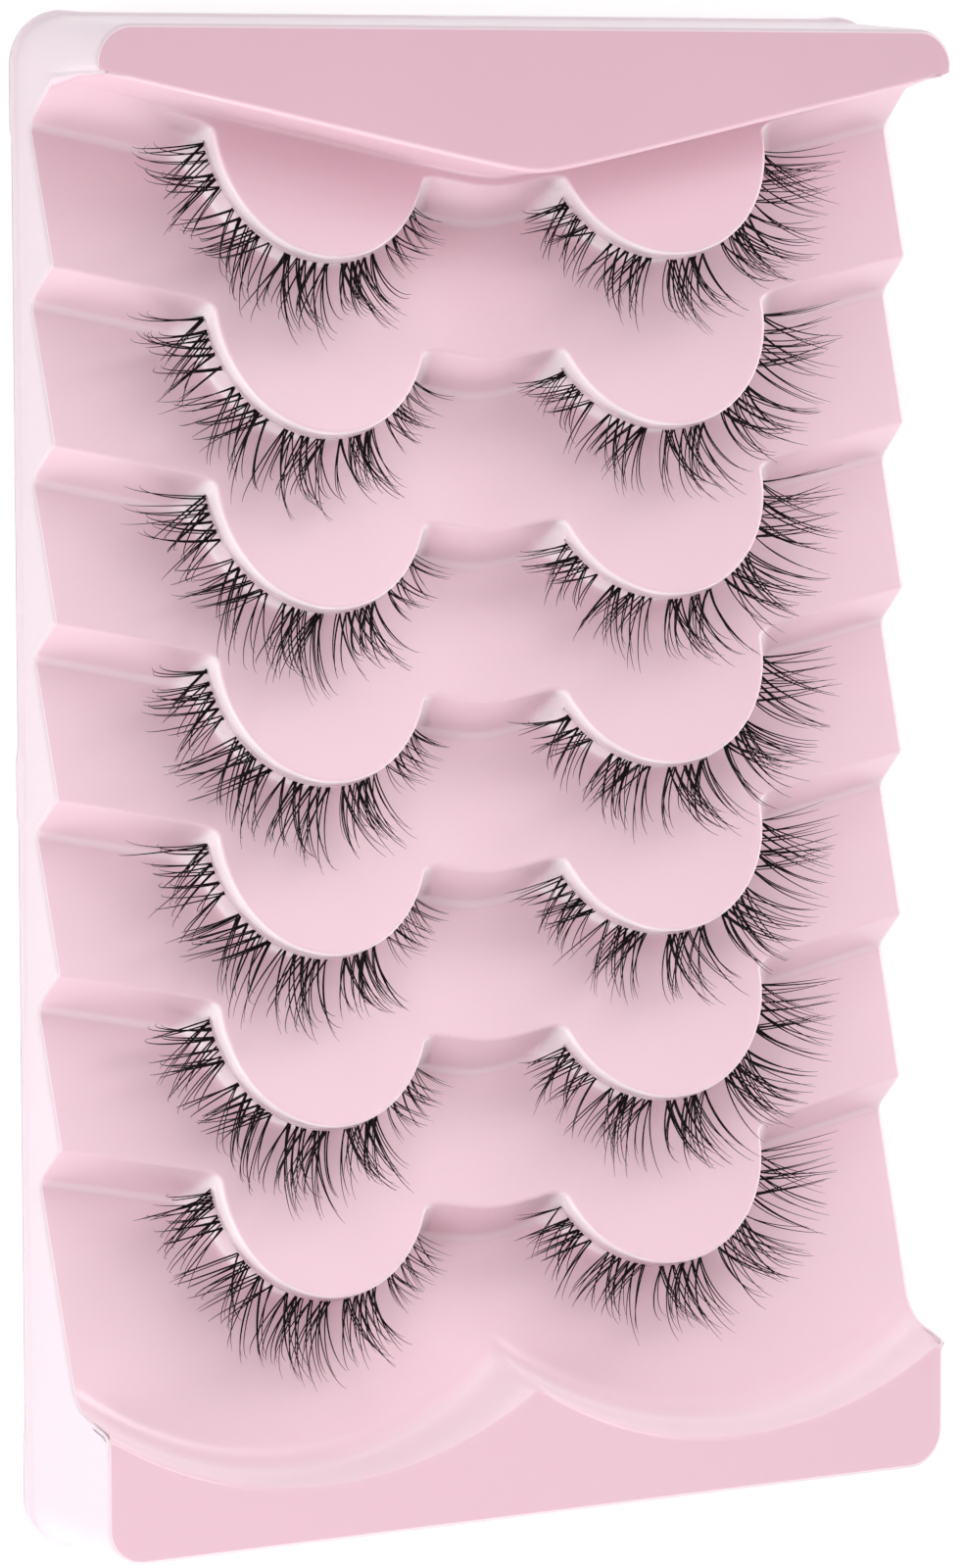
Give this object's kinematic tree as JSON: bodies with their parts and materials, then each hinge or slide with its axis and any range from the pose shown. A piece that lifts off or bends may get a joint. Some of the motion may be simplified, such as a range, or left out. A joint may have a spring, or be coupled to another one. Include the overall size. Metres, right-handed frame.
{
  "type": "false lash strips in display tray",
  "caption": "Stepped glossy display tray with mirrored pairs of false-lash strips, each a thin band of upswept hair clusters hugging a half-moon tongue.",
  "frame": {"origin": "middle of the tray's underside, on the surface it rests on", "axes": "+Z out of the tray's front, +Y towards the header along the tray's length, +X to the right seen from the front"},
  "size_m": [0.1152, 0.177, 0.0195],
  "materials": {
    "tray_plastic": "glossy pale pink formed sheet",
    "lash_fibre": "satin black synthetic fibre"
  },
  "bodies": {
    "root": {"tray": "tray_plastic", "lash_left_1": "lash_fibre", "lash_left_2": "lash_fibre", "lash_left_3": "lash_fibre", "lash_left_4": "lash_fibre", "lash_left_5": "lash_fibre", "lash_left_6": "lash_fibre", "lash_left_7": "lash_fibre", "lash_right_1": "lash_fibre", "lash_right_2": "lash_fibre", "lash_right_3": "lash_fibre", "lash_right_4": "lash_fibre", "lash_right_5": "lash_fibre", "lash_right_6": "lash_fibre", "lash_right_7": "lash_fibre"}
  },
  "joints": []
}
